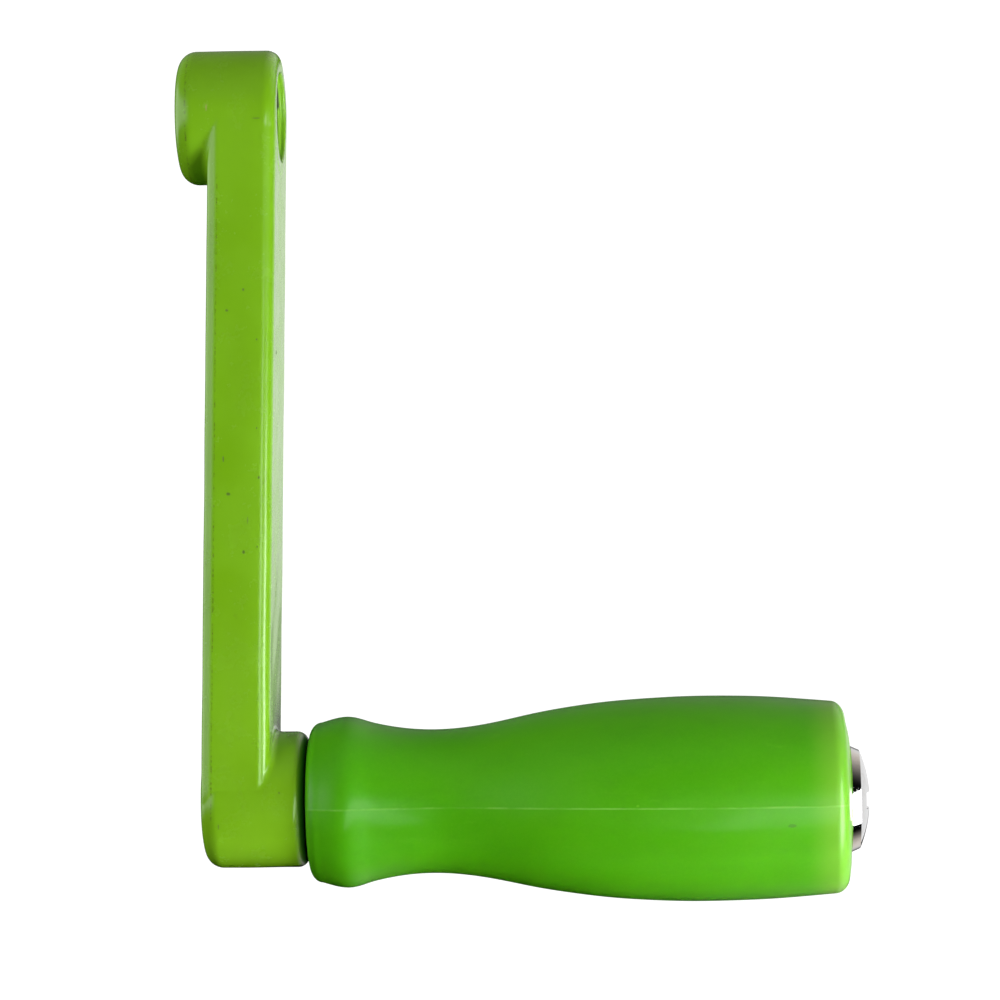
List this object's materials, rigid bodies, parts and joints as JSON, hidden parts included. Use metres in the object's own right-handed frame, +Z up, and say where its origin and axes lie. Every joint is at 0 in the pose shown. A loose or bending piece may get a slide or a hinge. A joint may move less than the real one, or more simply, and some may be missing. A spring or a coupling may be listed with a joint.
{
  "type": "can opener crank handle",
  "caption": "Cranked handle with a painted cast arm, a bored hub for a drive shaft and a contoured plastic grip that turns on a sleeve held by a slotted domed screw.",
  "frame": {"origin": "centre of the hub's back face, the face that meets the opener, on the drive shaft's axis", "axes": "+X along the drive shaft away from the opener, towards the hand; +Z up; the arm hangs down from the hub, so the grip's axis is parallel to X, 121 mm below the shaft's"},
  "size_m": [0.1196, 0.036, 0.1507],
  "materials": {
    "arm_paint": "gloss yellow-green paint on a casting, slightly orange-peeled, with small pits and chips",
    "grip_plastic": "semi-gloss moulded green plastic with a fine parting line and light scuffs",
    "screw_chrome": "polished",
    "plated_steel": "zinc plated, satin",
    "nylon": "natural nylon"
  },
  "bodies": {
    "arm": {"crank_arm": "arm_paint", "grip_screw": "screw_chrome", "bearing_sleeve": "plated_steel", "flat_washer": "plated_steel", "lock_washer": "plated_steel", "thrust_washer": "nylon"},
    "grip": {"grip": "grip_plastic"}
  },
  "joints": [
    {"name": "grip_spin", "type": "hinge", "parent": "arm", "child": "grip", "pos_m": [0.0625, 0, -0.121], "axis": [1, 0, 0], "continuous": true}
  ]
}
